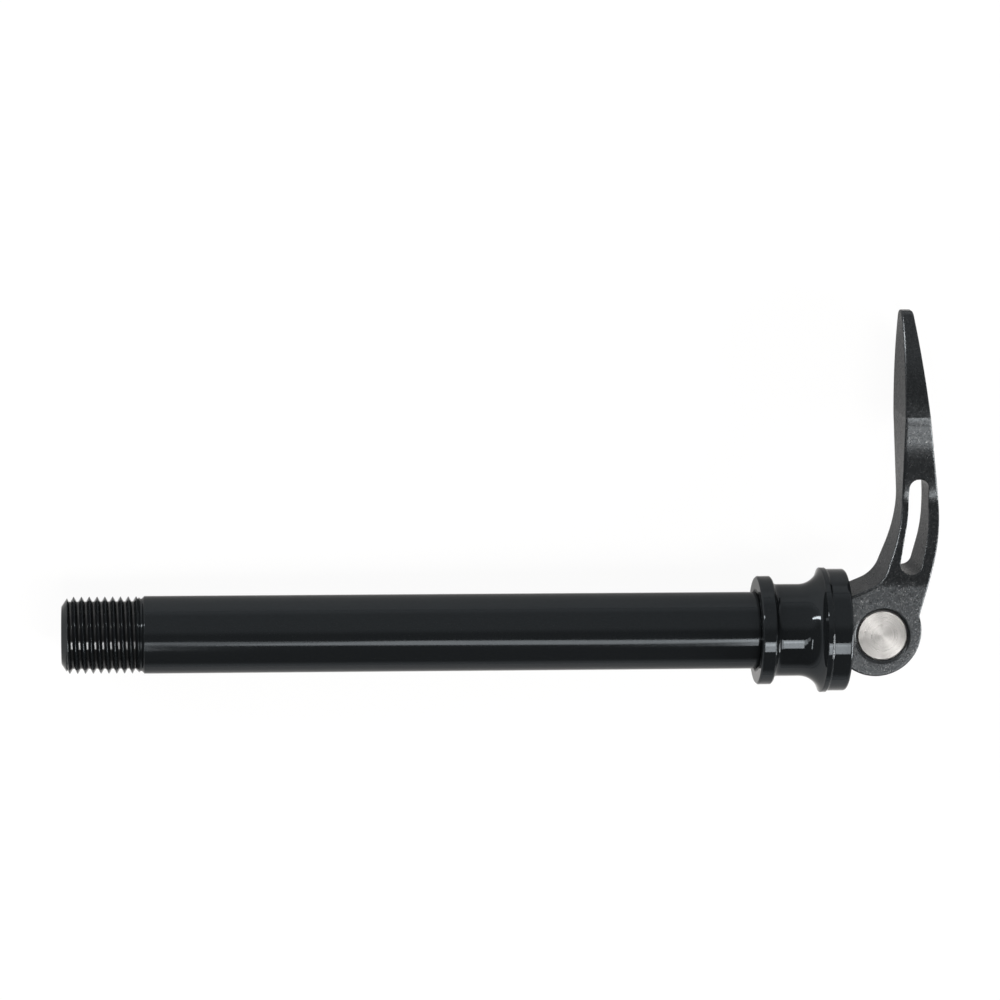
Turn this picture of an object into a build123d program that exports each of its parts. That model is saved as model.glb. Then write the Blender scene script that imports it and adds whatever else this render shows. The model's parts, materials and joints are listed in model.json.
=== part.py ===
"""Bicycle thru axle with a cam lever, lever closed, lying as it comes to rest.

Every piece is drawn in the axle's own frame, in millimetres: X runs along the axle from the thread to the
lever, Y up the closed lever and Z along the pivot, with the origin at the centre of the collar's clamp face.
The finished pieces are then laid on the floor together by one turn about that origin.
"""
import os
from math import acos, asin, atan2, cos, degrees, hypot, radians, sin, sqrt, tan

from build123d import *

# Axle shaft
shaft_diameter = 15.0
clamp_length = 135.0
thread_step = 0.07
thread_length = 14.9
tip_chamfer = 1.0
runout_depth = 0.38
runout_width = 0.7
edge_chamfer = 0.3
bore_diameter = 9.0
bore_end_wall = 22.0
drill_point_angle = 118.0
shoulder_height = 0.5
journal_clearance = 0.05
stud_diameter = 6.0
stud_chamfer = 0.6
saddle_end_gap = 0.8

# Clamp collar
collar_length = 17.5
flange_diameter = 21.2
flange_thickness = 2.9
flange_edge_chamfer = 0.3
flange_back_fillet = 1.2
waist_diameter = 18.0
flare_radius = 4.35
bead_height = 0.275
bead_width = 1.2
rim_width = 3.75
rim_edge_fillet = 0.6
mouth_gap = 0.65
cam_room = 0.7
cup_wall = 1.175
cup_depth = 4.7
brim_width = 2.05
pocket_depth = 1.9

# Cam saddle
saddle_clearance = 0.1
brim_thickness = 2.8
seat_extra_radius = 4.0
seat_gap = 0.25
stud_hole_clearance = 0.3

# Pivot and cam
pivot_overhang = 6.5
barrel_diameter = 10.0
barrel_recess = 0.35
barrel_chamfer = 0.3
barrel_clearance = 0.05
stud_fit_clearance = 0.03
stud_reach = 3.6
cam_radius = 8.8
cam_offset = (-1.1, 0.72)

# Lever, seen along the pivot and measured from it
lever_length = 63.0
outer_heel = (6.2, 0.0)
outer_knee = (11.75, 20.9)
outer_tip_x = 5.2
inner_tip_x = 2.95
inner_knee = (3.8, 21.6)
elbow_x = -0.1
elbow_rise = 0.83
brow_cut = 0.3
outer_knee_radius = 37.0
inner_knee_radius = 31.0
inner_elbow_radius = 6.0
brow_fillet = 2.5
outer_root_fillet = 1.5

# Lever window, seen along the pivot
window_top = 30.4
window_bottom = 11.9
window_top_x = (5.05, 8.75)
window_bottom_x = (2.9, 7.1)
window_outer_knee = (8.95, 20.3)
window_inner_knee = (4.9, 23.0)
window_top_radius = 1.75
window_bottom_radius = 1.9
window_knee_radius = 30.0

# Lever width, along the pivot
boss_width = 13.0
neck_width = 7.2
paddle_width = 14.0
tip_width = 4.0
boss_flat_height = 10.5
neck_height = 26.5
paddle_length = 20.9
paddle_shoulder_width = 12.2
paddle_shoulder_length = 10.9
boss_blend_radius = 10.0
neck_radius = 8.0
paddle_radius = 6.0
tip_corner_radius = 1.8
lever_edge_fillet = 0.4
pivot_hole_chamfer = 0.45
fork_clearance = 0.2
lever_swing = 135.0
touching = 0.001
fillet_share = 0.95

# Sizes that follow from the ones above
thread_diameter = shaft_diameter - 2 * thread_step
runout_diameter = thread_diameter - 2 * runout_depth
journal_diameter = shaft_diameter - 2 * shoulder_height
journal_bore = journal_diameter + 2 * journal_clearance
mouth_diameter = shaft_diameter + 2 * mouth_gap
bead_end = collar_length - rim_width
bead_start = bead_end - bead_width
cup_floor = collar_length - cup_depth
pocket_floor = cup_floor - pocket_depth
pivot_distance = collar_length + pivot_overhang
cam_past_rim = pivot_overhang + cam_offset[0]
cam_chord = cam_offset[1] + sqrt(cam_radius**2 - cam_past_rim**2)
cup_diameter = 2 * (hypot(boss_width / 2, cam_chord) + cam_room)
rim_diameter = cup_diameter + 2 * cup_wall
bead_diameter = rim_diameter + 2 * bead_height
pocket_diameter = cup_diameter - 2 * brim_width
journal_end = pocket_floor - saddle_end_gap
cam_near = pivot_distance + cam_offset[0] - cam_radius
seat_bottom = cam_near - seat_gap
seat_radius = cam_radius + seat_extra_radius
inner_elbow = (elbow_x, cam_offset[1] + cam_radius + elbow_rise)
fork_width = stud_diameter + 2 * fork_clearance
pivot_hole = barrel_diameter + 2 * barrel_clearance
barrel_length = boss_width - 2 * barrel_recess
paddle_height = lever_length - paddle_length
paddle_shoulder = (paddle_shoulder_width / 2, lever_length - paddle_shoulder_length)
beyond = 2 * lever_length


def corner_nearest(face, point):
    """The vertex of a flat face that lies nearest to a point."""
    return face.vertices().sort_by_distance((point[0], point[1], 0))[0]


def round_corner(face, point, radius):
    """A flat face with the corner nearest to a point rounded."""
    return fillet(corner_nearest(face, point), radius)


def turned(outline):
    """A solid turned about the axle axis from a closed outline of (x, radius) points."""
    return revolve(make_face(Polyline(*outline, close=True)), Axis.X)


def make_axle_shaft():
    """Threaded tip, shaft, collar journal and draw stud, gun-drilled from the threaded end."""
    thread_end = thread_length - clamp_length
    shaft_start = thread_end + runout_width
    bore_end = -bore_end_wall
    drill_point = bore_diameter / 2 / tan(radians(drill_point_angle / 2))
    stud_end = pivot_distance + stud_reach
    half_section = [
        (-clamp_length, bore_diameter / 2),
        (-clamp_length, thread_diameter / 2 - tip_chamfer),
        (-clamp_length + tip_chamfer, thread_diameter / 2),
        (thread_end, thread_diameter / 2),
        (thread_end, runout_diameter / 2),
        (shaft_start, runout_diameter / 2),
        (shaft_start, shaft_diameter / 2 - edge_chamfer),
        (shaft_start + edge_chamfer, shaft_diameter / 2),
        (0, shaft_diameter / 2),
        (0, journal_diameter / 2),
        (journal_end - edge_chamfer, journal_diameter / 2),
        (journal_end, journal_diameter / 2 - edge_chamfer),
        (journal_end, stud_diameter / 2),
        (stud_end - stud_chamfer, stud_diameter / 2),
        (stud_end, stud_diameter / 2 - stud_chamfer),
        (stud_end, 0),
        (bore_end + drill_point, 0),
        (bore_end, bore_diameter / 2),
    ]
    return turned(half_section)


def make_clamp_collar():
    """Turned spool: clamp flange, waist, hollow flare up to the bead, and the cup that the cam works in."""
    mouth_depth = (mouth_diameter - journal_bore) / 2
    flare_angle = acos(1 - (bead_diameter - waist_diameter) / 2 / flare_radius)
    flare_start = bead_start - flare_radius * sin(flare_angle)
    bead_step = (bead_diameter - rim_diameter) / 2
    flange_back = (flange_thickness, waist_diameter / 2)
    before_flare = [
        (0, mouth_diameter / 2),
        (0, flange_diameter / 2 - flange_edge_chamfer),
        (flange_edge_chamfer, flange_diameter / 2),
        (flange_thickness - flange_edge_chamfer, flange_diameter / 2),
        (flange_thickness, flange_diameter / 2 - flange_edge_chamfer),
        flange_back,
        (flare_start, waist_diameter / 2),
    ]
    after_flare = [
        (bead_start, bead_diameter / 2),
        (bead_end - bead_step, bead_diameter / 2),
        (bead_end, rim_diameter / 2),
        (collar_length, rim_diameter / 2),
        (collar_length, cup_diameter / 2),
        (cup_floor, cup_diameter / 2),
        (cup_floor, pocket_diameter / 2),
        (pocket_floor, pocket_diameter / 2),
        (pocket_floor, journal_bore / 2),
        (mouth_depth, journal_bore / 2),
        (0, mouth_diameter / 2),
    ]
    flare = JernArc(before_flare[-1], (1, 0), flare_radius, degrees(flare_angle))
    half_section = make_face(Polyline(*before_flare) + flare + Polyline(*after_flare))
    flange_back_wall = (flange_diameter - waist_diameter) / 2 - flange_edge_chamfer
    flange_fillet = min(flange_back_fillet, fillet_share * flange_back_wall)
    half_section = round_corner(half_section, flange_back, flange_fillet)
    rim_fillet = min(rim_edge_fillet, fillet_share * cup_wall)
    half_section = round_corner(half_section, (collar_length, rim_diameter / 2), rim_fillet)
    return revolve(half_section, Axis.X)


def make_cam_saddle():
    """Flanged bearing washer in the cup, with a hollow seat across it for the cam."""
    body_radius = pocket_diameter / 2 - saddle_clearance
    brim_radius = cup_diameter / 2 - saddle_clearance
    hole_radius = stud_diameter / 2 + stud_hole_clearance
    washer = turned([
        (pocket_floor, hole_radius),
        (pocket_floor, body_radius),
        (cup_floor, body_radius),
        (cup_floor, brim_radius),
        (cup_floor + brim_thickness, brim_radius),
        (cup_floor + brim_thickness, hole_radius),
    ])
    seat = Pos(seat_bottom + seat_radius, 0, 0) * Cylinder(seat_radius, beyond)
    return washer - seat


def lever_outline():
    """The lever seen along the pivot: cam boss, arm and paddle."""
    outer_tip = (outer_tip_x, lever_length)
    inner_tip = (inner_tip_x, lever_length)
    elbow = Vector(*inner_elbow)
    to_cam = Vector(*cam_offset) - elbow
    brow_reach = cam_radius - brow_cut
    brow_way = to_cam.rotate(Axis.Z, -degrees(asin(brow_reach / to_cam.length))).normalized()
    brow = elbow + brow_way * sqrt(to_cam.length**2 - brow_reach**2)
    corners = [outer_heel, outer_knee, outer_tip, inner_tip, inner_knee, elbow, brow]
    arm = make_face(Polyline(*corners, close=True))
    arm = round_corner(arm, outer_knee, outer_knee_radius)
    arm = round_corner(arm, inner_knee, inner_knee_radius)
    arm = round_corner(arm, inner_elbow, inner_elbow_radius)
    brow_end = elbow + brow_way * beyond
    above_brow = [elbow, brow_end, (brow_end.X, beyond), (elbow.X, beyond)]
    boss = Pos(*cam_offset) * Circle(cam_radius) - make_face(Polyline(*above_brow, close=True))
    outline = arm + boss
    brow_corner = outline.vertices().filter_by(on_cam_circle).sort_by(Axis.X)[0]
    outline = fillet(brow_corner, brow_fillet)
    outer_root = outline.vertices().filter_by(on_cam_circle).sort_by(Axis.X)[-1]
    return fillet(outer_root, outer_root_fillet)


def on_cam_circle(vertex):
    """Whether a corner of the lever's outline lies on the cam circle."""
    reach = hypot(vertex.X - cam_offset[0], vertex.Y - cam_offset[1])
    return abs(reach - cam_radius) < touching


def lever_width_outline():
    """The lever seen along the axle: broad boss, narrow neck and leaf-shaped paddle."""
    foot = cam_offset[1] - cam_radius - boss_width
    right = [
        (boss_width / 2, foot),
        (boss_width / 2, boss_flat_height),
        (neck_width / 2, neck_height),
        (paddle_width / 2, paddle_height),
    ]
    tip = (tip_width / 2, lever_length)
    half = Polyline((0, foot), *right) + ThreePointArc(right[-1], paddle_shoulder, tip)
    half = make_face(half + Polyline(tip, (0, lever_length), (0, foot)))
    half = round_corner(half, right[1], boss_blend_radius)
    half = round_corner(half, right[2], neck_radius)
    half = round_corner(half, right[3], paddle_radius)
    half = round_corner(half, tip, tip_corner_radius)
    return half + mirror(half, Plane.YZ)


def window_outline():
    """The window through the arm, seen along the pivot."""
    top_inner = (window_top_x[0], window_top)
    top_outer = (window_top_x[1], window_top)
    bottom_outer = (window_bottom_x[1], window_bottom)
    bottom_inner = (window_bottom_x[0], window_bottom)
    corners = [top_inner, top_outer, window_outer_knee, bottom_outer, bottom_inner, window_inner_knee]
    window = make_face(Polyline(*corners, close=True))
    window = round_corner(window, window_outer_knee, window_knee_radius)
    window = round_corner(window, window_inner_knee, window_knee_radius)
    top_radius = min(window_top_radius, fillet_share * (top_outer[0] - top_inner[0]) / 2)
    for corner in (top_inner, top_outer):
        window = round_corner(window, corner, top_radius)
    bottom_radius = min(window_bottom_radius, fillet_share * (bottom_outer[0] - bottom_inner[0]) / 2)
    for corner in (bottom_outer, bottom_inner):
        window = round_corner(window, corner, bottom_radius)
    return window


def fork_outline():
    """The room that the draw stud sweeps in the boss as the lever swings, seen along the pivot."""
    roof = fork_width / 2
    swing = radians(lever_swing)
    reach = 2 * (cam_radius + boss_width)
    corner = Vector(roof / tan(swing / 2), roof)
    far_edge = corner - Vector(cos(swing), sin(swing)) * reach
    return make_face(Polyline((-reach, roof), corner, far_edge, (-reach, far_edge.Y), close=True))


def make_cam_lever():
    """Forked cam boss, windowed arm and leaf-shaped paddle, cut from two crossed outlines."""
    side = extrude(lever_outline(), amount=paddle_width, both=True)
    along_axle = Plane(origin=(0, 0, 0), x_dir=(0, 0, -1), z_dir=(1, 0, 0))
    front = extrude(along_axle * lever_width_outline(), amount=lever_length, both=True)
    lever = side & front
    lever = fillet(rim_edges(lever), lever_edge_fillet)
    lever -= extrude(window_outline(), amount=paddle_width, both=True)
    lever -= extrude(fork_outline(), amount=fork_width / 2, both=True)
    lever -= Cylinder(pivot_hole / 2, 2 * boss_width)
    for face_side in (1, -1):
        mouth = Cone(pivot_hole / 2, pivot_hole / 2 + pivot_hole_chamfer, pivot_hole_chamfer)
        height = boss_width / 2 - pivot_hole_chamfer / 2
        lever -= Pos(0, 0, face_side * height) * Rot(0 if face_side > 0 else 180, 0, 0) * mouth
    return Pos(pivot_distance, 0, 0) * lever


def rim_edges(lever):
    """The long edges between the lever's two side faces and its outline."""
    seams = lever.edges().filter_by(Axis.X) + lever.edges().filter_by(Axis.Z)
    return [edge for edge in lever.edges() if edge not in seams]


def make_pivot_barrel():
    """Turned cross pin with the hole that takes the draw stud."""
    barrel = Cylinder(barrel_diameter / 2, barrel_length)
    barrel = chamfer(barrel.edges().filter_by(GeomType.CIRCLE), barrel_chamfer)
    stud_hole = Rot(0, 90, 0) * Cylinder(stud_diameter / 2 + stud_fit_clearance, 2 * barrel_diameter)
    return Pos(pivot_distance, 0, 0) * (barrel - stud_hole)


def resting_floor():
    """The floor under the bead, the thread's end and the paddle, as a plane through the origin.

    The axle tips until the bead and the thread touch the floor, then rolls about its axis until the paddle
    does. A paddle point at height y and half width w meets the floor at the roll where
    y * sin(roll) + w * cos(roll) is its room under the axis.
    """
    bead_x = bead_start + bead_width / 2
    tip_x = -clamp_length + tip_chamfer
    tilt = atan2((bead_diameter - thread_diameter) / 2, bead_x - tip_x)
    drop = bead_diameter / 2 * cos(tilt) - bead_x * sin(tilt)
    paddle_x = pivot_distance + inner_tip_x
    room = (drop + paddle_x * sin(tilt)) / cos(tilt)
    leaf_top = (tip_width / 2, lever_length)
    leaf = ThreePointArc((paddle_width / 2, paddle_height), paddle_shoulder, leaf_top)
    points = [leaf @ (step / 40) for step in range(41)]
    roll = min(asin(room / hypot(p.X, p.Y)) - atan2(p.X, p.Y) for p in points)
    up = Vector(sin(tilt), -cos(tilt) * sin(roll), cos(tilt) * cos(roll))
    along = Vector(1, 0, 0) - up * up.X
    return Plane(origin=(0, 0, 0), x_dir=along, z_dir=up)


def build_pieces():
    """Every piece by name, laid on the floor."""
    pieces = {
        "axle_shaft": make_axle_shaft(),
        "clamp_collar": make_clamp_collar(),
        "cam_saddle": make_cam_saddle(),
        "cam_lever": make_cam_lever(),
        "pivot_barrel": make_pivot_barrel(),
    }
    floor = resting_floor()
    return {name: floor.to_local_coords(piece) for name, piece in pieces.items()}


os.makedirs("parts", exist_ok=True)
for node, solid in build_pieces().items():
    export_step(solid, f"parts/{node}.step")
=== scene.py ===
"""Looks of the bicycle thru axle.

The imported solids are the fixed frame. This script puts a shaft with its real helical thread in place of
the plain one, dresses every piece in a worked-out finish, and sets a pale floor, studio light and the
camera. Sizes are millimetres in the axle's own frame: X along the axle from the thread to the lever, Y up
the closed lever and Z along the pivot. AxleFrame turns them into metres of the row frame.
"""

import json
import logging
import math
from dataclasses import dataclass
from enum import Enum
from typing import Any

import bpy
import numpy as np
from mathutils import Matrix, Vector


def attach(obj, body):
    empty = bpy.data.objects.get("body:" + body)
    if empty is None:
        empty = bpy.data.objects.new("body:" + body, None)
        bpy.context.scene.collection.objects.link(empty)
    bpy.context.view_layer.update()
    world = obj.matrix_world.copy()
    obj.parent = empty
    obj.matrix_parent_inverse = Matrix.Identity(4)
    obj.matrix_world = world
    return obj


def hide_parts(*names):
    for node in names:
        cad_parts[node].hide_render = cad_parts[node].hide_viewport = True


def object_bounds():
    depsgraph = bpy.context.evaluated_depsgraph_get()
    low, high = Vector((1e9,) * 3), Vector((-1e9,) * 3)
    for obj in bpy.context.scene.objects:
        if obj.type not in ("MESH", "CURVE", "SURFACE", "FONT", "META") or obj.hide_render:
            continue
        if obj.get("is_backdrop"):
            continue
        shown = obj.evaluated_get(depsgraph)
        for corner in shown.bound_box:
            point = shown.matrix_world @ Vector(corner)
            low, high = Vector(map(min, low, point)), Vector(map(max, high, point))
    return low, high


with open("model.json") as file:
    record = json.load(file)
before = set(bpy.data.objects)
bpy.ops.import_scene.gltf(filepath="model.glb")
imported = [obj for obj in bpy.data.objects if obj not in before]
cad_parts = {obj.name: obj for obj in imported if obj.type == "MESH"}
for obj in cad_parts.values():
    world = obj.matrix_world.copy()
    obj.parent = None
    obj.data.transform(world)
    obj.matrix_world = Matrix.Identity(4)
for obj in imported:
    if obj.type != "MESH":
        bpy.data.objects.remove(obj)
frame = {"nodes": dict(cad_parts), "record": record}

log = logging.getLogger("thru_axle")

MM = 0.001

Triple = tuple[float, float, float]
Span = tuple[float, float]
Socket = bpy.types.NodeSocket
Inputs = dict[str | int, Any]


class Node(Enum):
    """The solids of the frame, by name."""

    SHAFT = "axle_shaft"
    COLLAR = "clamp_collar"
    SADDLE = "cam_saddle"
    LEVER = "cam_lever"
    BARREL = "pivot_barrel"


class Slot(Enum):
    """The record's material slots, by name."""

    GLOSS_BLACK = "gloss_black_anodised"


class Shading(Enum):
    """The angle in degrees above which two faces of a new piece meet in a sharp edge."""

    TURNED = 28.0


@dataclass(frozen=True)
class AxleFrame:
    """The axle's own directions and centres, as the record's mounts and joints give them.

    Attributes:
        centre: Middle of the clamp face, in row metres.
        along: Unit vector up the axle, from the thread to the lever.
        rise: Unit vector up the closed lever.
        pin: Unit vector along the pivot.
        pivot: Middle of the lever's pivot, in row metres.
    """

    centre: Vector
    along: Vector
    rise: Vector
    pin: Vector
    pivot: Vector

    @classmethod
    def from_record(cls, record: dict[str, Any]) -> "AxleFrame":
        """Reads the shaft's mount and the lever's joint.

        Args:
            record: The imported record.

        Returns:
            The axle's frame at rest.
        """
        mounts = {mount["name"]: mount for mount in record["mounts"]}
        joints = {joint["name"]: joint for joint in record["behaviour"]["joints"]}
        along = -Vector(mounts["hub_shaft"]["axis"]).normalized()
        pin = -Vector(joints["lever_swing"]["axis"]).normalized()
        return cls(
            centre=Vector(mounts["hub_shaft"]["pos_m"]),
            along=along,
            rise=pin.cross(along).normalized(),
            pin=pin,
            pivot=Vector(joints["lever_swing"]["pos_m"]),
        )

    @property
    def turn(self) -> Matrix:
        """Rotation from the axle's own axes to the row's."""
        return Matrix((self.along, self.rise, self.pin)).transposed()

    def to_row(self, points: np.ndarray) -> np.ndarray:
        """Places points of the axle's frame in the row frame.

        Args:
            points: Array of (x, y, z) in millimetres, with any number of leading axes.

        Returns:
            The same array in row metres: the centre plus the turned points.
        """
        return np.array(self.centre) + MM * points @ np.array(self.turn).T

    def point(self, place: Triple) -> Vector:
        """One place of the axle's frame as a row vector in metres."""
        return Vector(self.to_row(np.array(place)))


@dataclass
class Surface:
    """Points and triangles of a mesh before Blender has it.

    Attributes:
        points: Array of shape (n, 3), in millimetres.
        triangles: Array of shape (m, 3) of point numbers.
    """

    points: np.ndarray
    triangles: np.ndarray

    @classmethod
    def from_grid(cls, grid: np.ndarray) -> "Surface":
        """Covers a grid of points with triangles, two for each cell of four neighbours.

        Args:
            grid: Array of shape (rows, columns, 3).

        Returns:
            The surface over the grid.
        """
        rows, columns = grid.shape[:2]
        number = np.arange(rows * columns).reshape(rows, columns)
        first, second = number[:-1, :-1], number[:-1, 1:]
        third, fourth = number[1:, 1:], number[1:, :-1]
        lower = np.stack([first, second, third], axis=-1)
        upper = np.stack([first, third, fourth], axis=-1)
        return cls(grid.reshape(-1, 3), np.concatenate([lower, upper]).reshape(-1, 3))

    @classmethod
    def joined(cls, surfaces: list["Surface"]) -> "Surface":
        """Puts several surfaces into one, numbering the points on from one to the next.

        Args:
            surfaces: The surfaces to join.

        Returns:
            One surface with all their points and triangles.
        """
        counts = np.cumsum([0] + [len(surface.points) for surface in surfaces[:-1]])
        shifted = [surface.triangles + count for surface, count in zip(surfaces, counts)]
        return cls(np.concatenate([s.points for s in surfaces]), np.concatenate(shifted))

    def welded(self, tolerance: float = 0.00073) -> "Surface":
        """Merges points that share a place, and drops the triangles that this closes up.

        Args:
            tolerance: Side of the cube within which points count as one. It is no round number, so that
                no size lies on the border of two cubes.

        Returns:
            The closed surface, turned so that its volume is positive.
        """
        cells = np.round(self.points / tolerance).astype(np.int64)
        _, first, again = np.unique(cells, axis=0, return_index=True, return_inverse=True)
        corners = again.reshape(-1)[self.triangles]
        still_open = (corners != np.roll(corners, 1, axis=1)).all(axis=1)
        welded = Surface(self.points[first], corners[still_open])
        a, b, c = (welded.points[welded.triangles[:, corner]] for corner in range(3))
        volume = np.einsum("ij,ij->", a, np.cross(b, c))
        if volume < 0:
            welded.triangles = welded.triangles[:, ::-1]
        return welded

    def to_object(self, name: str, axle: AxleFrame, shading: Shading) -> bpy.types.Object:
        """Makes the Blender object, at the origin with its place in its mesh.

        Args:
            name: Name of the piece.
            axle: The frame that the points are written in.
            shading: How sharp an edge has to be to show.

        Returns:
            The new object, linked to the scene.
        """
        mesh = bpy.data.meshes.new(name)
        mesh.vertices.add(len(self.points))
        mesh.vertices.foreach_set("co", axle.to_row(self.points).astype(np.float32).ravel())
        mesh.loops.add(self.triangles.size)
        mesh.loops.foreach_set("vertex_index", self.triangles.astype(np.int32).ravel())
        mesh.polygons.add(len(self.triangles))
        starts = np.arange(0, self.triangles.size, 3, dtype=np.int32)
        mesh.polygons.foreach_set("loop_start", starts)
        mesh.update(calc_edges=True)
        mesh.validate()
        mesh.shade_smooth()
        mesh.set_sharp_from_angle(angle=math.radians(shading.value))
        piece = bpy.data.objects.new(name, mesh)
        bpy.context.scene.collection.objects.link(piece)
        return piece


class NodeGraph:
    """Short ways to add nodes to a node tree and to join them."""

    def __init__(self, tree: bpy.types.NodeTree) -> None:
        """Takes the tree that the nodes go into."""
        self.nodes = tree.nodes
        self.links = tree.links

    def feed(self, socket: Socket, source: Any) -> None:
        """Gives an input socket its value.

        Args:
            socket: The input socket.
            source: Another node's output to link to it, or a constant to set it to.
        """
        if isinstance(source, bpy.types.NodeSocket):
            self.links.new(source, socket)
        else:
            socket.default_value = source

    def add(self, kind: str, inputs: Inputs | None = None, **settings: Any) -> bpy.types.Node:
        """Adds a node.

        Args:
            kind: Blender's name of the node type.
            inputs: What its inputs get, by their names or numbers.
            **settings: Properties of the node to set.

        Returns:
            The new node.
        """
        node = self.nodes.new(kind)
        for name, value in settings.items():
            setattr(node, name, value)
        for place, source in (inputs or {}).items():
            self.feed(node.inputs[place], source)
        return node

    def math(self, operation: str, first: Any, second: Any = 0.0) -> Socket:
        """The result of one Math node on two values, each a socket or a constant."""
        return self.add("ShaderNodeMath", {0: first, 1: second}, operation=operation).outputs["Value"]

    def times(self, first: Any, second: Any) -> Socket:
        """The product of two values."""
        return self.math("MULTIPLY", first, second)

    def split(self, vector: Socket) -> list[Socket]:
        """The x, y and z of a vector."""
        return list(self.add("ShaderNodeSeparateXYZ", {"Vector": vector}).outputs)

    def ranged(
        self, value: Any, start: Span, goal: tuple[Any, Any] = (0.0, 1.0), smooth: bool = False
    ) -> Socket:
        """Carries one range of values to another, and holds it at its ends.

        Args:
            value: The value.
            start: Where its range begins and ends.
            goal: What those two become.
            smooth: Whether the change begins and ends gently.

        Returns:
            The carried value.
        """
        style = "SMOOTHSTEP" if smooth else "LINEAR"
        inputs = dict(zip(("Value", "From Min", "From Max", "To Min", "To Max"), (value, *start, *goal)))
        return self.add("ShaderNodeMapRange", inputs, interpolation_type=style).outputs["Result"]


class ShaderTree(NodeGraph):
    """The node tree of one material, with a Principled shader at its end."""

    # The Mix node's colour sockets share their names with its other sockets, so they go by number.
    MIX_LOW, MIX_HIGH, MIX_RESULT = 6, 7, 2
    EDGE_SAMPLES = 6

    def __init__(self, name: str) -> None:
        """Starts a material of that name with its shader and its output alone."""
        self.material = bpy.data.materials.new(name)
        self.material.use_nodes = True
        super().__init__(self.material.node_tree)
        self.nodes.clear()
        self.shader = self.add("ShaderNodeBsdfPrincipled")
        self.output = self.add("ShaderNodeOutputMaterial")
        self.feed(self.output.inputs["Surface"], self.shader.outputs["BSDF"])

    def set(self, **sockets: Any) -> None:
        """Feeds the shader's sockets, named with underscores for their spaces."""
        for name, source in sockets.items():
            self.feed(self.shader.inputs[name.replace("_", " ")], source)

    def millimetres(self, centre: Vector, turn: Matrix) -> Socket:
        """Object coordinates seen from a centre along turned axes.

        Args:
            centre: The place that becomes zero, in row metres.
            turn: Rotation from the wanted axes to the row's.

        Returns:
            A vector in millimetres along those axes.
        """
        place = self.add("ShaderNodeTexCoord").outputs["Object"]
        inputs = {"Vector": place, "Location": centre, "Rotation": turn.to_euler(), "Scale": (MM, MM, MM)}
        return self.add("ShaderNodeMapping", inputs, vector_type="TEXTURE").outputs["Vector"]

    def stretched(self, vector: Socket, scale: Triple) -> Socket:
        """A vector with each of its parts multiplied by its own scale."""
        inputs = {"Vector": vector, "Scale": scale}
        return self.add("ShaderNodeMapping", inputs, vector_type="POINT").outputs["Vector"]

    def combined(self, x: Any, y: Any, z: Any) -> Socket:
        """A vector of three parts."""
        return self.add("ShaderNodeCombineXYZ", {"X": x, "Y": y, "Z": z}).outputs["Vector"]

    def distance(self, first: Socket, second: Socket) -> Socket:
        """Distance from an axis: the root of the squares of the two parts across it, added up."""
        return self.math("SQRT", self.math("ADD", self.times(first, first), self.times(second, second)))

    def noise(self, vector: Socket, per_mm: float, detail: float = 2.0) -> Socket:
        """Soft noise from 0 to 1: so many grains to a millimetre, and so many layers of finer ones."""
        inputs = {"Vector": vector, "Scale": per_mm, "Detail": detail}
        return self.add("ShaderNodeTexNoise", inputs).outputs["Fac"]

    def tool_marks(self, run: Socket, per_mm: float, drift: float, *across: Socket) -> Socket:
        """The marks of a lathe: noise, fast along the cut and drifting slowly round the axis."""
        slow = (self.times(part, drift) for part in across)
        return self.noise(self.combined(self.times(run, per_mm), *slow), 1.0)

    def tinted(self, share: Any, low: Any, high: Any) -> Socket:
        """Mixes two colours.

        Args:
            share: Share of the second colour.
            low: The first colour, as a triple or a socket.
            high: The second colour.

        Returns:
            The mixed colour.
        """
        low, high = ((*tone, 1.0) if isinstance(tone, tuple) else tone for tone in (low, high))
        inputs = {"Factor": share, self.MIX_LOW: low, self.MIX_HIGH: high}
        return self.add("ShaderNodeMix", inputs, data_type="RGBA").outputs[self.MIX_RESULT]

    def rounded(self, radius_mm: float) -> Socket:
        """A normal that turns smoothly over every edge, as if the edge had that radius."""
        inputs = {"Radius": radius_mm * MM}
        return self.add("ShaderNodeBevel", inputs, samples=self.EDGE_SAMPLES).outputs["Normal"]

    def bumped(self, height: Any, depth_mm: float, under: Any = None) -> Socket:
        """A normal for a relief.

        Args:
            height: Height as a share of the depth.
            depth_mm: What a height of 1 stands for, in millimetres.
            under: The normal of a coarser relief that this one lies on, or None.

        Returns:
            The bumped normal.
        """
        inputs = {"Strength": 1.0, "Distance": depth_mm * MM, "Height": height}
        if under is not None:
            inputs["Normal"] = under
        return self.add("ShaderNodeBump", inputs).outputs["Normal"]


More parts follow.
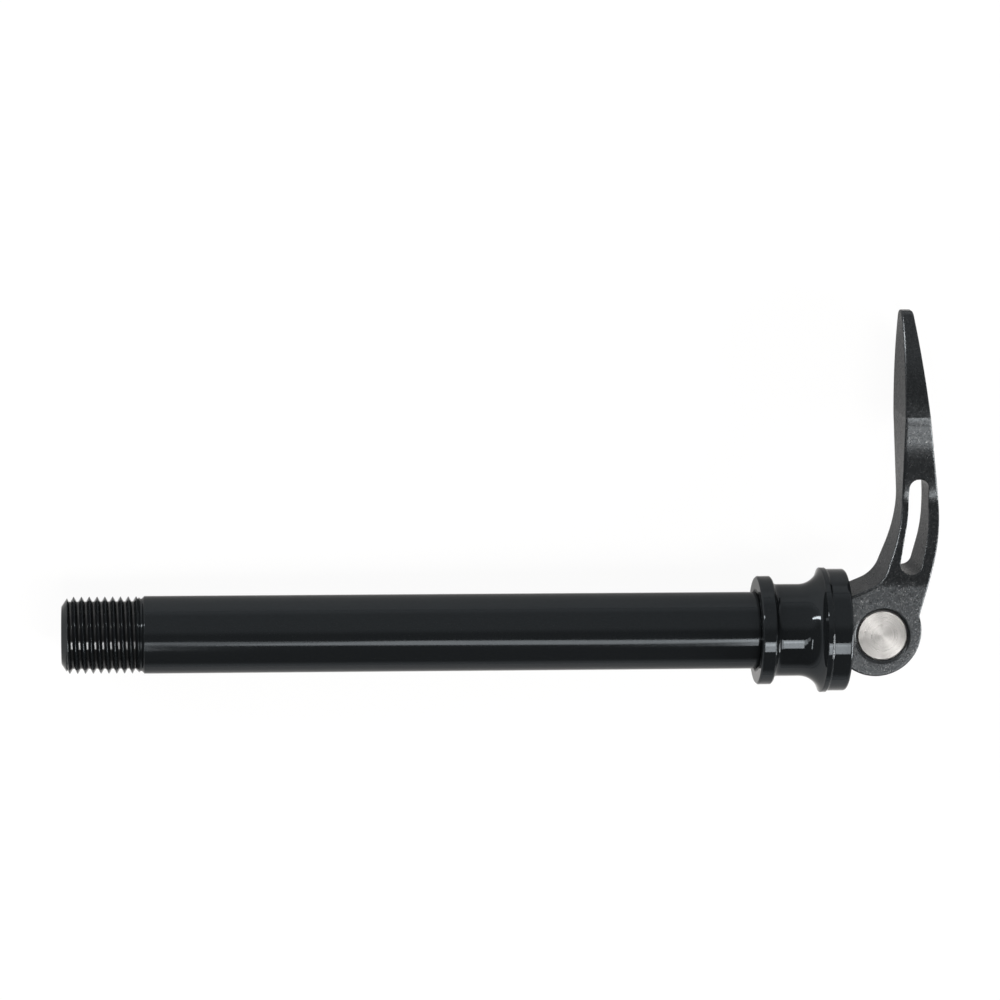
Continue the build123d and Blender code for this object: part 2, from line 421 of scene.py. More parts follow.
@dataclass(frozen=True)
class GlossAnodised:
    """Black anodised aluminium, turned and polished: faint rings round the axle under a clean gloss.

    Attributes:
        name: Name of the material.
        black: Colour of the dye where it is deepest.
        grey: Colour of the dye where it is thinnest.
        roughness: Lowest and highest roughness.
        rings_per_mm: Tool marks to a millimetre along the surface.
        ring_drift: Changes of a tool mark to a millimetre across the axle.
        ring_depth: Depth of a tool mark.
        grain_per_mm: Grains of the oxide to a millimetre.
        grain_depth: Depth of the grain.
        grain_contrast: Values of the grain at which the dye is deepest and thinnest.
        cloud_stretch: Clouds in the gloss to a millimetre, along and across the axle.
        gloss_contrast: Sums of clouds and rings at which the roughness is lowest and highest.
        metal: Share of the metal under the dye in what is reflected.
        edge_tint: How much of the metal's glint is left at a grazing angle.
        refraction: Index of refraction of the sealed surface.
        burnished: Colour in the thread's roots, where the tool pressed the metal bright.
        burnish_radii: Radii between which the burnished colour gives way to the dye.
        burnish_span: Where along the axle the burnished part begins and ends.
        edge_radius: How far the edges are broken.
    """

    name: str
    black: Triple = (0.0160, 0.0187, 0.0210)
    grey: Triple = (0.0213, 0.0240, 0.0263)
    roughness: Span = (0.08, 0.13)
    rings_per_mm: float = 9.0
    ring_drift: float = 0.2
    ring_depth: float = 0.00025
    grain_per_mm: float = 7.0
    grain_depth: float = 0.0003
    grain_contrast: Span = (0.35, 0.7)
    cloud_stretch: Triple = (0.05, 0.16, 0.16)
    gloss_contrast: Span = (0.7, 1.3)
    metal: float = 0.70
    edge_tint: Triple = (0.5, 0.5, 0.5)
    refraction: float = 1.40
    burnished: Triple = (0.034, 0.0355, 0.037)
    burnish_radii: Span = (6.60, 6.75)
    burnish_span: Span = (-133.75, -119.5)
    edge_radius: float = 0.08

    def material(self, axle: AxleFrame) -> bpy.types.Material:
        """Builds the finish about the axle's axis.

        The rings are noise over x + r, which runs along a cylinder and across an end face alike, and only
        slowly round the axle.

        Args:
            axle: The axle's frame.

        Returns:
            The material.
        """
        tree = ShaderTree(self.name)
        place = tree.millimetres(axle.centre, axle.turn)
        x, y, z = tree.split(place)
        radius = tree.distance(y, z)
        rings = tree.tool_marks(tree.math("ADD", x, radius), self.rings_per_mm, self.ring_drift, y, z)
        grain = tree.noise(place, self.grain_per_mm, detail=3.0)
        clouds = tree.noise(tree.stretched(place, self.cloud_stretch), 1.0)
        dye = tree.tinted(tree.ranged(grain, self.grain_contrast), self.black, self.grey)
        begin, end = self.burnish_span
        on_thread = tree.times(tree.math("GREATER_THAN", x, begin), tree.math("LESS_THAN", x, end))
        bare = tree.times(on_thread, tree.ranged(radius, self.burnish_radii, (1.0, 0.0)))
        skin = tree.bumped(grain, self.grain_depth, tree.rounded(self.edge_radius))
        tree.set(
            Base_Color=tree.tinted(bare, dye, self.burnished),
            Metallic=self.metal,
            Roughness=tree.ranged(tree.math("ADD", clouds, rings), self.gloss_contrast, self.roughness),
            IOR=self.refraction,
            Specular_Tint=(*self.edge_tint, 1.0),
            Normal=tree.bumped(rings, self.ring_depth, skin),
        )
        return tree.material


@dataclass(frozen=True)
class BlastedAnodised:
    """Black anodised aluminium with a blasted skin: a fine grain, and pebbles on the machined sides.

    Places up the lever count from the pivot.

    Attributes:
        name: Name of the material.
        black: Colour in the pits.
        grey: Colour on the tops of the grain.
        roughness: Lowest and highest roughness.
        side_facing: How squarely a face lies to the pivot where machined sides begin and are full.
        side_share: Share of pebbles and specks on other faces and on a machined side.
        grain_per_mm: Fine grains to a millimetre.
        grain_depth: Depth of the fine grain.
        grain_contrast: Values of the grain that have the colour of the pits and of the tops.
        pebbles_per_mm: Coarse grains of the machined sides to a millimetre.
        pebble_stretch: Scales of those grains along the axle, up the lever and along the pivot.
        pebble_depth: Depth of the coarse grain.
        pebble_contrast: Values of the coarse grain at which the roughness is lowest and highest.
        speck: Colour of the bright specks and scratches where the dye is rubbed through.
        specks_per_mm: Grains to a millimetre that the specks are picked from.
        speck_contrast: Values of those grains at which a speck begins and is full.
        speck_end: Where up the lever the specks thin out and end.
        scratch_stretch: Scratches to a millimetre, along and across them and into the metal.
        scratch_lean: Turn of the scratches about the pivot, in degrees.
        scratch_contrast: Values of their noise at which a scratch begins and is full.
        scratch_share: How much of the speck's colour a full scratch has.
        slope: Rise of the even slope from the neck to the paddle.
        slope_span: Where it begins and ends.
        shoulder: Rise of the shoulder on the slope.
        shoulder_span: Where it begins and ends.
        lip: Rise of the lip at the top of the slope.
        lip_span: Where it begins and ends.
        edge_radius: How far the edges are broken.
        metal: Share of the metal under the dye in what is reflected.
        edge_tint: How much of the metal's glint is left at a grazing angle.
        refraction: Index of refraction of the sealed surface.
    """

    name: str
    black: Triple = (0.0270, 0.0300, 0.0325)
    grey: Triple = (0.0600, 0.0640, 0.0675)
    roughness: Span = (0.20, 0.30)
    side_facing: Span = (0.6, 0.9)
    side_share: Span = (0.25, 1.0)
    grain_per_mm: float = 4.5
    grain_depth: float = 0.007
    grain_contrast: Span = (0.4, 0.72)
    pebbles_per_mm: float = 1.6
    pebble_stretch: Triple = (1.0, 0.8, 1.0)
    pebble_depth: float = 0.022
    pebble_contrast: Span = (0.3, 0.7)
    speck: Triple = (0.17, 0.172, 0.175)
    specks_per_mm: float = 5.0
    speck_contrast: Span = (0.72, 0.80)
    speck_end: Span = (40.0, 47.0)
    scratch_stretch: Triple = (0.55, 5.0, 0.3)
    scratch_lean: float = 38.0
    scratch_contrast: Span = (0.70, 0.78)
    scratch_share: float = 0.7
    slope: float = 0.45
    slope_span: Span = (27.6, 42.4)
    shoulder: float = 1.0
    shoulder_span: Span = (27.6, 37.8)
    lip: float = 0.16
    lip_span: Span = (41.0, 42.9)
    edge_radius: float = 0.45
    metal: float = 0.85
    edge_tint: Triple = (0.4, 0.4, 0.4)
    refraction: float = 1.45

    def relief(self, tree: ShaderTree, up: Socket, pebbles: Socket, grain: Socket) -> Socket:
        """Lays slope, shoulder, lip, pebbles and grain over each other on the broken edges.

        The slope is even, the shoulder rises as half a wave of a cosine, and the lip as a parabola that
        is steepest at its top.

        Args:
            tree: The tree that the nodes go into.
            up: Distance up the lever from the pivot.
            pebbles: Height of the coarse grain.
            grain: Height of the fine grain.

        Returns:
            The normal of the whole relief.
        """
        wave = tree.math("COSINE", tree.ranged(up, self.shoulder_span, (-math.pi, 0.0)))
        on_lip = tree.ranged(up, self.lip_span)
        normal = tree.rounded(self.edge_radius)
        for height, depth in (
            (tree.ranged(up, self.slope_span), self.slope),
            (wave, self.shoulder / 2),
            (tree.times(on_lip, on_lip), self.lip),
            (pebbles, self.pebble_depth),
            (grain, self.grain_depth),
        ):
            normal = tree.bumped(height, depth, normal)
        return normal

    def material(self, axle: AxleFrame) -> bpy.types.Material:
        """Builds the finish in the lever's own axes.

        A face counts as machined by how squarely its normal lies along the pivot.

        Args:
            axle: The axle's frame.

        Returns:
            The material.
        """
        tree = ShaderTree(self.name)
        place = tree.millimetres(axle.pivot, axle.turn)
        up = tree.split(place)[1]
        outward = tree.add("ShaderNodeNewGeometry").outputs["Normal"]
        along_pin = {0: outward, 1: axle.pin}
        facing = tree.add("ShaderNodeVectorMath", along_pin, operation="DOT_PRODUCT").outputs["Value"]
        side = tree.ranged(tree.math("ABSOLUTE", facing), self.side_facing, self.side_share)
        grain = tree.noise(place, self.grain_per_mm, detail=4.0)
        pebbles = tree.noise(tree.stretched(place, self.pebble_stretch), self.pebbles_per_mm, detail=3.0)
        specks = tree.ranged(tree.noise(place, self.specks_per_mm, detail=0.0), self.speck_contrast)
        lean = Matrix.Rotation(math.radians(self.scratch_lean), 3, "Z")
        leaning = tree.stretched(tree.millimetres(axle.pivot, axle.turn @ lean), self.scratch_stretch)
        streaks = tree.noise(leaning, 1.0, detail=1.0)
        scratches = tree.ranged(streaks, self.scratch_contrast, (0.0, self.scratch_share))
        worn = tree.times(side, tree.ranged(up, self.speck_end, (1.0, 0.0)))
        rubbed = tree.times(tree.math("MAXIMUM", specks, scratches), worn)
        skin = tree.tinted(tree.ranged(grain, self.grain_contrast), self.black, self.grey)
        tree.set(
            Base_Color=tree.tinted(rubbed, skin, self.speck),
            Metallic=self.metal,
            Roughness=tree.ranged(pebbles, self.pebble_contrast, self.roughness),
            IOR=self.refraction,
            Specular_Tint=(*self.edge_tint, 1.0),
            Normal=self.relief(tree, up, tree.times(pebbles, side), grain),
        )
        return tree.material


@dataclass(frozen=True)
class TurnedSteel:
    """Bright steel faced on a lathe: fine circles about the pivot that fan the light out along the radius.

    Attributes:
        name: Name of the material.
        dark: Colour in the tool marks.
        bright: Colour between them.
        roughness: Lowest and highest roughness.
        circles_per_mm: Tool marks to a millimetre of radius.
        circle_drift: Changes of a tool mark to a millimetre across the pivot.
        circle_depth: Depth of a tool mark.
        circle_contrast: Values of the marks that are darkest and brightest.
    """

    name: str
    dark: Triple = (0.245, 0.243, 0.239)
    bright: Triple = (0.335, 0.332, 0.327)
    roughness: Span = (0.26, 0.34)
    circles_per_mm: float = 11.0
    circle_drift: float = 0.1
    circle_depth: float = 0.0006
    circle_contrast: Span = (0.3, 0.7)

    def material(self, axle: AxleFrame) -> bpy.types.Material:
        """Builds the finish about the pivot's axis, with the radius as the shader's tangent.

        Args:
            axle: The axle's frame.

        Returns:
            The material.
        """
        tree = ShaderTree(self.name)
        x, y, z = tree.split(tree.millimetres(axle.pivot, axle.turn))
        run = tree.math("ADD", tree.distance(x, y), z)
        circles = tree.tool_marks(run, self.circles_per_mm, self.circle_drift, x, y)
        outward = {"Vector": tree.combined(x, y, 0.0), "Rotation": axle.turn.to_euler()}
        tree.set(
            Base_Color=tree.tinted(tree.ranged(circles, self.circle_contrast), self.dark, self.bright),
            Metallic=1.0,
            Roughness=tree.ranged(circles, self.circle_contrast, self.roughness),
            Anisotropic=1.0,
            Tangent=tree.add("ShaderNodeMapping", outward, vector_type="VECTOR").outputs["Vector"],
            Normal=tree.bumped(circles, self.circle_depth),
        )
        return tree.material


@dataclass(frozen=True)
class BlackAcetal:
    """Black bearing plastic, moulded: soft sheen, faint flow marks and a light haze where the cam rubs.

    Attributes:
        name: Name of the material.
        black: Colour of the plastic.
        haze: Colour where it is rubbed.
        roughness: Lowest and highest roughness.
        flows_per_mm: Flow marks to a millimetre along the axle.
        flow_stretch: Scales of the flow marks along and across the axle.
        flow_contrast: Values of the flow marks that are blackest and most rubbed.
        grain_per_mm: Grains to a millimetre.
        grain_depth: Depth of the grain.
        grain_contrast: Values of the grain at which the roughness is lowest and highest.
    """

    name: str
    black: Triple = (0.012, 0.012, 0.013)
    haze: Triple = (0.03, 0.03, 0.031)
    roughness: Span = (0.38, 0.55)
    flows_per_mm: float = 1.2
    flow_stretch: Triple = (1.0, 0.3, 0.3)
    flow_contrast: Span = (0.45, 0.75)
    grain_per_mm: float = 6.0
    grain_depth: float = 0.002
    grain_contrast: Span = (0.3, 0.7)

    def material(self, axle: AxleFrame) -> bpy.types.Material:
        """Builds the finish in the axle's own axes.

        Args:
            axle: The axle's frame.

        Returns:
            The material.
        """
        tree = ShaderTree(self.name)
        place = tree.millimetres(axle.centre, axle.turn)
        flow = tree.noise(tree.stretched(place, self.flow_stretch), self.flows_per_mm, detail=3.0)
        grain = tree.noise(place, self.grain_per_mm)
        tree.set(
            Base_Color=tree.tinted(tree.ranged(flow, self.flow_contrast), self.black, self.haze),
            Roughness=tree.ranged(grain, self.grain_contrast, self.roughness),
            Normal=tree.bumped(grain, self.grain_depth),
        )
        return tree.material


@dataclass(frozen=True)
class PaleFloor:
    """White card that shows white to the camera and to reflections, and still takes shadows.

    Attributes:
        name: Name of the material.
        card: Colour of the card under the lamps.
        glow: Share of plain white in what the camera sees.
        mirror_glow: Share of plain white in what reflections see.
    """

    name: str
    card: Triple = (0.84, 0.84, 0.84)
    glow: float = 0.92
    mirror_glow: float = 0.30

    def material(self) -> bpy.types.Material:
        """Builds the card: its own surface mixed with plain white, by the kind of ray that meets it.

        Returns:
            The material.
        """
        tree = ShaderTree(self.name)
        tree.set(Base_Color=(*self.card, 1.0), Roughness=1.0, Specular_IOR_Level=0.0)
        rays = tree.add("ShaderNodeLightPath")
        mirrored = tree.math("MAXIMUM", rays.outputs["Is Glossy Ray"], rays.outputs["Is Transmission Ray"])
        direct = tree.times(rays.outputs["Is Camera Ray"], self.glow)
        white = tree.add("ShaderNodeEmission").outputs["Emission"]
        share = tree.math("MAXIMUM", direct, tree.times(mirrored, self.mirror_glow))
        inputs = {"Fac": share, 1: tree.shader.outputs["BSDF"], 2: white}
        mixed = tree.add("ShaderNodeMixShader", inputs).outputs["Shader"]
        tree.feed(tree.output.inputs["Surface"], mixed)
        return tree.material


def dress(node: Node, material: bpy.types.Material) -> bpy.types.Object:
    """Puts a material on a solid of the frame.

    Args:
        node: The solid.
        material: Its finish.

    Returns:
        The solid's object.
    """
    piece = frame["nodes"][node.value]
    for slot in piece.material_slots:
        slot.material = material
    return piece


@dataclass
class ThreadedAxle:
    """The axle and its cross barrel: threaded tip, plain shaft, collar journal and draw stud.

    Attributes:
        axle: The axle's frame.
        shaft_radius: Radius of the plain shaft.
        crest_radius: Radius over the thread's crests.
        clamp_length: From the tip to the clamp face.
        thread_length: From the tip to the end of the thread.
        pitch: Advance of the thread in one turn.
        thread_depth: From crest to root.
        crest_half_width: Half the flat on a crest.
        flank_slope: Fall of a flank per unit along the axle.
        crest_phase: From the tip to a crest on the pivot's side.
        tip_radius: Radius of the tip's end face.
        tip_chamfer: Length of the tip's cone, up to the crests.
        lead_in: From the tip to where the thread's groove begins, and to where it has its full depth.
        fade_length: Stretch over which the groove rises to the run-out.
        runout_start: Depth of the run-out below the crests, where the thread ends.
        runout_sag: How far the run-out's hollow falls below a straight line across it.
        runout_width: Width of the run-out groove.
        edge_chamfer: Chamfer of the shaft's and the journal's ends.
        bore_radius: Radius of the drilled hole.
        bore_end: Where the full hole ends.
        drill_point_angle: Full angle of the drill's point, in degrees.
        journal_radius: Radius of the journal in the collar.
        journal_end: Where the journal ends.
        stud_radius: Radius of the draw stud.
        stud_end: Where the draw stud ends.
        stud_chamfer: Chamfer of the stud's end.
        columns: Steps round the axle.
        spare_turns: Turns that begin before the tip, which cuts them off.
        flank_rows: Rows of points on a flank.
        root_rows: Rows of points on half the flat of a root.
        runout_rows: Rows of points on the run-out.
    """

    axle: AxleFrame
    shaft_radius: float
    crest_radius: float
    clamp_length: float = 135.0
    thread_length: float = 14.9
    pitch: float = 1.5
    thread_depth: float = 0.92
    crest_half_width: float = 0.05
    flank_slope: float = math.sqrt(3.0)
    crest_phase: float = 1.25
    tip_radius: float = 5.6
    tip_chamfer: float = 1.2
    lead_in: Span = (0.7, 1.15)
    fade_length: float = 0.7
    runout_start: float = 0.16
    runout_sag: float = 0.24
    runout_width: float = 0.7
    edge_chamfer: float = 0.3
    bore_radius: float = 4.5
    bore_end: float = -22.0
    drill_point_angle: float = 118.0
    journal_radius: float = 7.0
    journal_end: float = 10.1
    stud_radius: float = 3.0
    stud_end: float = 27.6
    stud_chamfer: float = 0.6
    columns: int = 192
    spare_turns: int = 2
    flank_rows: int = 6
    root_rows: int = 3
    runout_rows: int = 13

    @classmethod
    def from_record(cls, axle: AxleFrame, record: dict[str, Any]) -> "ThreadedAxle":
        """Takes the shaft's and the thread's radius from their mounts.

        Args:
            axle: The axle's frame.
            record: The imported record.

        Returns:
            The axle with those radii.
        """
        radius = {mount["name"]: mount["dims"].get("r_mm") for mount in record["mounts"]}
        return cls(axle, shaft_radius=radius["hub_shaft"], crest_radius=radius["end_thread"])

    @property
    def tip(self) -> float:
        """Where the axle begins."""
        return -self.clamp_length

    @property
    def thread_end(self) -> float:
        """Where the thread ends."""
        return self.tip + self.thread_length

    @property
    def flank_end(self) -> float:
        """Distance along the axle from a crest to where its flank meets the flat of the root."""
        return self.crest_half_width + self.thread_depth / self.flank_slope

    @property
    def angles(self) -> np.ndarray:
        """Angles round the axle, from the lever's side towards the pivot's, closed."""
        return np.linspace(0.0, 2 * math.pi, self.columns + 1)

    def depth_below_crest(self, offset: np.ndarray) -> np.ndarray:
        """Depth of the thread at a distance along the axle from any crest.

        From a crest outwards the form is a short flat, then a straight flank, then the flat of the root.

        Args:
            offset: Distances along the axle.

        Returns:
            Depths below the crest, from 0 to the thread's depth.
        """
        to_crest = np.abs(np.mod(offset / self.pitch + 0.5, 1.0) - 0.5) * self.pitch
        return np.clip((to_crest - self.crest_half_width) * self.flank_slope, 0.0, self.thread_depth)

    def thread_stations(self) -> np.ndarray:
        """Spreads rows across one pitch, at every corner of the form and between.

        Returns:
            Distances from the crest, from the middle of one root to just before that of the next.
        """
        flank = np.linspace(self.crest_half_width, self.flank_end, self.flank_rows)
        root = np.linspace(self.flank_end, self.pitch / 2, self.root_rows)
        half = np.concatenate([[0.0], flank, root[1:]])
        return np.concatenate([-half[:0:-1], half[:-1]])

    def round_grid(self, x: np.ndarray, radius: np.ndarray) -> np.ndarray:
        """Points of a surface about the axle.

        Args:
            x: Places along the axle, of shape (rows, columns + 1).
            radius: Distances from the axis, of the same shape.

        Returns:
            Points x, radius * cos(angle), radius * sin(angle).
        """
        return np.stack([x, radius * np.cos(self.angles), radius * np.sin(self.angles)], axis=-1)

    def turned(self, profile: list[tuple[float, float]]) -> Surface:
        """The surface that a profile sweeps as it turns about the axle.

        Args:
            profile: Points (place along the axle, radius).

        Returns:
            The turned surface, open at its first and last point.
        """
        x, radius = (np.array(values)[:, None] for values in zip(*profile))
        flat = np.zeros(self.columns + 1)
        return Surface.from_grid(self.round_grid(x + flat, radius + flat))

    def threaded_grid(self) -> np.ndarray:
        """Grid of the thread, with its rows along the helix.

        Row k lies at a fixed phase of the thread: x = start + station k + pitch * angle / turn, so that
        the end of each turn is the start of the row one pitch on. The start lies a quarter pitch before
        the crest on the pivot's side, which is a quarter turn on. Where x would pass the thread's ends it
        is held there. The radius is the crest radius less the thread's depth, and never over the tip's
        cone. The depth grows over the lead-in, and its greatest value falls to the run-out's over the fade.

        Returns:
            Points of shape (rows, columns + 1, 3).
        """
        turns = np.arange(-self.spare_turns, math.ceil(self.thread_length / self.pitch) + 1)
        start = self.tip + self.crest_phase - self.pitch / 4
        rows = (start + self.pitch * turns[:, None] + self.thread_stations()).ravel()
        advance = self.pitch * self.angles / (2 * math.pi)
        x = np.clip(rows[:, None] + advance, self.tip, self.thread_end)
        begin, full = self.lead_in
        grown = np.clip((x - self.tip - begin) / (full - begin), 0.0, 1.0)
        to_end = np.clip((self.thread_end - x) / self.fade_length, 0.0, 1.0)
        deepest = self.runout_start + (self.thread_depth - self.runout_start) * to_end
        depth = np.minimum(self.depth_below_crest(x - advance - start) * grown, deepest)
        cone = self.tip_radius + (self.crest_radius - self.tip_radius) * (x - self.tip) / self.tip_chamfer
        return self.round_grid(x, np.minimum(self.crest_radius - depth, cone))

    def runout_profile(self) -> list[tuple[float, float]]:
        """Profile of the run-out: a straight line from the thread to the shaft, less half a sine wave.

        Returns:
            Points (place along the axle, radius).
        """
        share = np.linspace(0.0, 1.0, self.runout_rows)
        start = self.crest_radius - self.runout_start
        line = start + (self.shaft_radius - self.edge_chamfer - start) * share
        places = self.thread_end + self.runout_width * share
        return list(zip(places, line - self.runout_sag * np.sin(math.pi * share)))

    def surface(self) -> Surface:
        """Puts the whole shaft together: bore, tip, thread, run-out, shaft, journal and stud.

        Returns:
            The closed surface.
        """
        drill_point = self.bore_radius / math.tan(math.radians(self.drill_point_angle / 2))
        shaft_start = self.thread_end + self.runout_width
        inside = self.turned([
            (self.bore_end + drill_point, 0.0),
            (self.bore_end, self.bore_radius),
            (self.tip, self.bore_radius),
            (self.tip, self.tip_radius),
        ])
        outside = self.turned([
            *self.runout_profile(),
            (shaft_start + self.edge_chamfer, self.shaft_radius),
            (0.0, self.shaft_radius),
            (0.0, self.journal_radius),
            (self.journal_end - self.edge_chamfer, self.journal_radius),
            (self.journal_end, self.journal_radius - self.edge_chamfer),
            (self.journal_end, self.stud_radius),
            (self.stud_end - self.stud_chamfer, self.stud_radius),
            (self.stud_end, self.stud_radius - self.stud_chamfer),
            (self.stud_end, 0.0),
        ])
        thread = self.threaded_grid()
        around = np.zeros(self.columns + 1)
        runout_radius = self.crest_radius - self.runout_start
        groove_edge = self.round_grid((around + self.thread_end)[None], (around + runout_radius)[None])
        last_wall = np.concatenate([thread[-1:], groove_edge])
        parts = [inside, Surface.from_grid(thread), Surface.from_grid(last_wall), outside]
        return Surface.joined(parts).welded()

    def build(self) -> bpy.types.Object:
        """Makes the threaded shaft and lets it stand for the plain one.

        Returns:
            The shaft's object.
        """
        shaft = self.surface().to_object("threaded_shaft", self.axle, Shading.TURNED)
        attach(shaft, "axle")
        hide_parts(Node.SHAFT.value)
        return shaft

    def dress(self, shaft: bpy.types.Object) -> list[bpy.types.Object]:
        """Gives the shaft and the barrel their finishes.

        Args:
            shaft: The threaded shaft.

        Returns:
            Both pieces.
        """
        shaft.data.materials.append(GlossAnodised("shaft_gloss_black").material(self.axle))
        barrel = dress(Node.BARREL, TurnedSteel("barrel_turned_steel").material(self.axle))
        return [shaft, barrel]


@dataclass
class ClampEnd:
    """The collar that is pulled against the fork, and the saddle inside it.

    Attributes:
        axle: The axle's frame.
        collar_roughness: Lowest and highest roughness of the collar, which is polished more.
        collar_edge_radius: How far the collar's edges are broken.
    """

    axle: AxleFrame
    collar_roughness: Span = (0.04, 0.07)
    collar_edge_radius: float = 0.3

    def dress(self) -> list[bpy.types.Object]:
        """Gives the collar and the saddle their finishes.

        Returns:
            Both pieces.
        """
        gloss = GlossAnodised(
            "collar_gloss_black", roughness=self.collar_roughness, edge_radius=self.collar_edge_radius
        )
        collar = dress(Node.COLLAR, gloss.material(self.axle))
        saddle = dress(Node.SADDLE, BlackAcetal("saddle_black_acetal").material(self.axle))
        return [collar, saddle]


@dataclass
class CamLever:
    """The lever with its forked cam boss, window and paddle.

    Attributes:
        axle: The axle's frame.
    """

    axle: AxleFrame

    def dress(self) -> list[bpy.types.Object]:
        """Gives the lever its finish.

        Returns:
            The lever.
        """
        return [dress(Node.LEVER, BlastedAnodised("lever_blasted_black").material(self.axle))]


@dataclass(frozen=True)
class StripLamp:
    """A long narrow soft lamp.

    Attributes:
        name: Name of the lamp.
        start: One end of its middle line, in the axle's frame.
        end: The other end.
        width: Its width.
        radiance: Brightness of its face, where white card in full light is 1.
        aim: The place that it faces.
        tint: Colour of its light.
    """

    name: str
    start: Triple
    end: Triple
    width: float
    radiance: float
    aim: Triple
    tint: Triple = (1.0, 0.975, 0.95)

    def build(self, axle: AxleFrame) -> bpy.types.Object:
        """Hangs the lamp, with a power of its radiance times pi times its area.

        Args:
            axle: The axle's frame.

        Returns:
            The lamp's object.
        """
        start, end, aim = (axle.point(place) for place in (self.start, self.end, self.aim))
        middle = (start + end) / 2
        long_way = (end - start).normalized()
        back = (middle - aim).normalized()
        back = (back - long_way * back.dot(long_way)).normalized()
        data = bpy.data.lights.new(self.name, "AREA")
        data.shape = "RECTANGLE"
        data.size = (end - start).length
        data.size_y = self.width * MM
        data.energy = self.radiance * math.pi * data.size * data.size_y
        data.color = self.tint
        lamp = bpy.data.objects.new(self.name, data)
        axes = Matrix((long_way, back.cross(long_way), back)).transposed()
        lamp.matrix_world = Matrix.Translation(middle) @ axes.to_4x4()
        lamp.visible_camera = False
        bpy.context.scene.collection.objects.link(lamp)
        return lamp


@dataclass(frozen=True)
class PhotoCamera:
    """The camera at the photograph's angle.

    Attributes:
        place: Where it stands, in the axle's frame.
        yaw: Turn to the right of looking down the pivot, in degrees.
        pitch: Turn downwards, in degrees.
        roll: Turn about its own line of sight, in degrees.
        lens: Focal length, in millimetres.
        sensor: Width of the square image on the sensor, in millimetres.
        clip: Nearest and farthest distance that it sees, in metres.
    """

    place: Triple = (-119.8, 161.5, 798.3)
    yaw: float = 4.968
    pitch: float = 9.593
    roll: float = 0.548
    lens: float = 151.2
    sensor: float = 36.0
    clip: Span = (0.01, 50.0)

    def build(self, axle: AxleFrame) -> bpy.types.Object:
        """Sets up the camera.

        Args:
            axle: The axle's frame.

        Returns:
            The camera's object.
        """
        yaw, pitch, roll = (math.radians(angle) for angle in (self.yaw, self.pitch, self.roll))
        level = math.cos(pitch)
        ahead = Vector((math.sin(yaw) * level, -math.sin(pitch), -math.cos(yaw) * level))
        right = ahead.cross(Vector((0.0, 1.0, 0.0))).normalized()
        up = right.cross(ahead)
        rolled_right = right * math.cos(roll) + up * math.sin(roll)
        rolled_up = up * math.cos(roll) - right * math.sin(roll)
        data = bpy.data.cameras.new("photo_camera")
        data.lens = self.lens
        data.sensor_width = self.sensor
        data.clip_start, data.clip_end = self.clip
        camera = bpy.data.objects.new("photo_camera", data)
        axes = axle.turn @ Matrix((rolled_right, rolled_up, -ahead)).transposed()
        camera.matrix_world = Matrix.Translation(axle.point(self.place)) @ axes.to_4x4()
        bpy.context.scene.collection.objects.link(camera)
        bpy.context.scene.camera = camera
        return camera


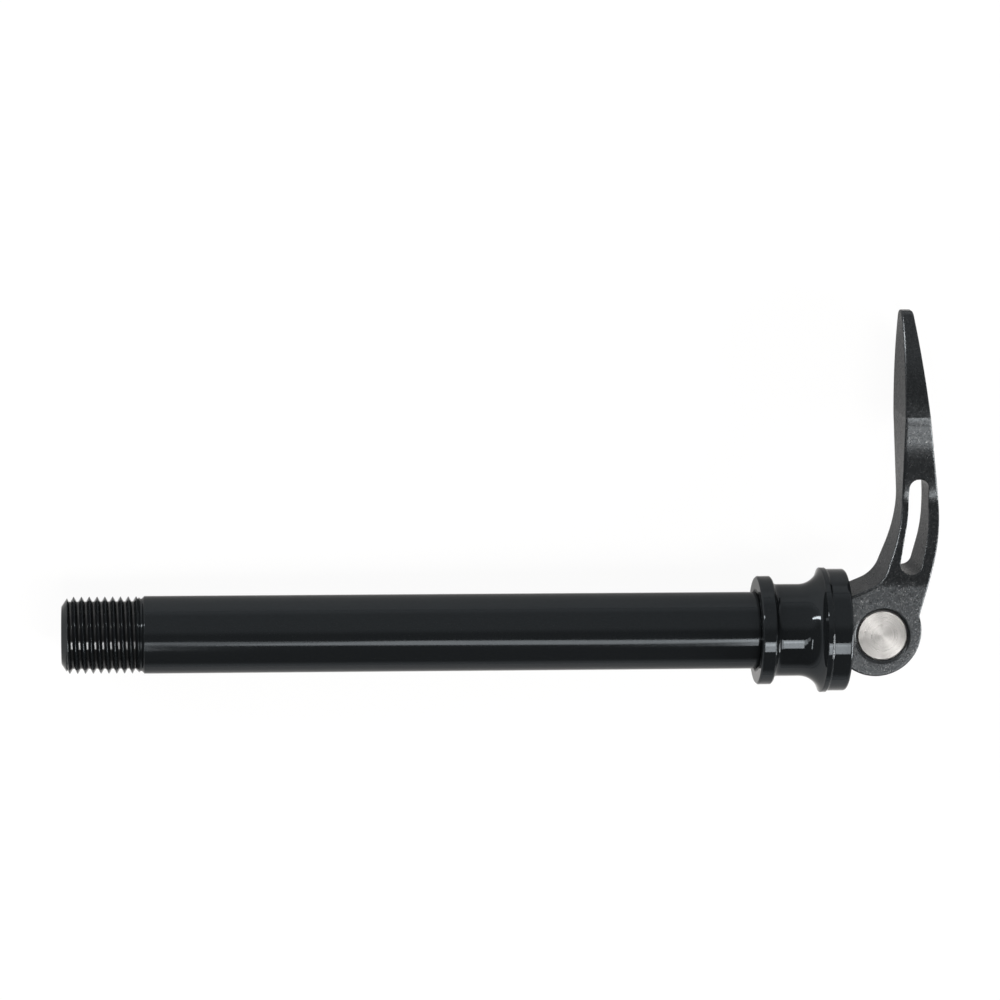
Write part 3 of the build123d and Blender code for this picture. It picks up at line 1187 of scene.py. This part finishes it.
@dataclass
class Studio:
    """Pale floor, soft lamps, a dim room and the camera.

    Attributes:
        axle: The axle's frame.
        floor_height: Height of the floor, in row metres.
        floor_side: Side of the floor, in metres.
        room_light: Brightness of the room overhead.
        side_light: Brightness of the room on the lever's side.
        side_lean: Leans of a sight line to the lever's side between which the room brightens.
        horizon_light: Brightness of the room at the floor's far edge.
        room_rise: Rises of a sight line between which that fades to the brightness overhead.
        lamps: The soft lamps.
    """

    axle: AxleFrame
    floor_height: float
    floor_side: float = 40.0
    room_light: float = 0.15
    side_light: float = 0.60
    side_lean: Span = (0.22, 0.50)
    horizon_light: float = 1.0
    room_rise: Span = (0.0, 0.30)
    lamps: tuple[StripLamp, ...] = (
        StripLamp("over_thread", (-134, -190, 250), (-134, -62, 250), 18, 20.0, (-134, 0, 0)),
        StripLamp("overhead_tail", (-300, -185, 900), (-60, -262, 900), 120, 4.0, (-100, 0, 0)),
        StripLamp("overhead_neck", (-60, -275, 900), (140, -395, 900), 190, 7.6, (-30, 0, 0)),
        StripLamp("overhead_end", (142, -420, 900), (190, -420, 900), 370, 13.5, (20, 0, 0)),
        StripLamp("right_panel", (240, -450, 900), (640, -450, 900), 440, 9.0, (20, 0, 0)),
        StripLamp("right_low", (760, -470, 130), (760, -50, 130), 230, 45.0, (30, 0, 0)),
        StripLamp("left_key", (-890, 290, 130), (-520, 600, 720), 85, 42.0, (10, 0, 0)),
    )

    def lay_floor(self) -> bpy.types.Object:
        """Lays the floor under the part: a square, flat at its height.

        Returns:
            The floor's object.
        """
        half = self.floor_side / 2
        square = ((-half, -half), (half, -half), (half, half), (-half, half))
        corners = [(x, y, self.floor_height) for x, y in square]
        mesh = bpy.data.meshes.new("floor")
        mesh.from_pydata(corners, [], [(0, 1, 2, 3)])
        mesh.materials.append(PaleFloor("pale_card").material())
        floor = bpy.data.objects.new("floor", mesh)
        bpy.context.scene.collection.objects.link(floor)
        floor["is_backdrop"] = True
        return floor

    def light_room(self) -> None:
        """Lights the room: white at the horizon, dim overhead and brighter on the lever's side."""
        world = bpy.data.worlds.new("studio_room")
        world.use_nodes = True
        graph = NodeGraph(world.node_tree)
        _, side, rise = graph.split(graph.add("ShaderNodeTexCoord").outputs["Generated"])
        overhead = graph.ranged(side, self.side_lean, (self.room_light, self.side_light), smooth=True)
        strength = graph.ranged(rise, self.room_rise, (self.horizon_light, overhead), smooth=True)
        background = graph.nodes["Background"]
        graph.feed(background.inputs["Color"], (1.0, 1.0, 1.0, 1.0))
        graph.feed(background.inputs["Strength"], strength)
        bpy.context.scene.world = world

    def build(self) -> None:
        """Sets up the floor, the room, the lamps and the camera."""
        self.lay_floor()
        self.light_room()
        for lamp in self.lamps:
            lamp.build(self.axle)
        PhotoCamera().build(self.axle)
        bpy.context.scene.view_settings.view_transform = "Standard"


def main() -> None:
    """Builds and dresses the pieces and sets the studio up."""
    logging.basicConfig(level=logging.INFO, format="%(name)s: %(message)s")
    cad_low, cad_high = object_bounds()
    record = frame["record"]
    axle = AxleFrame.from_record(record)
    threaded = ThreadedAxle.from_record(axle, record)
    pieces = threaded.dress(threaded.build())
    pieces += ClampEnd(axle).dress()
    pieces += CamLever(axle).dress()
    for piece in pieces:
        log.info("%s: %d triangles", piece.name, len(piece.data.polygons))
    Studio(axle, floor_height=cad_low.z).build()


if __name__ == "__main__":
    main()
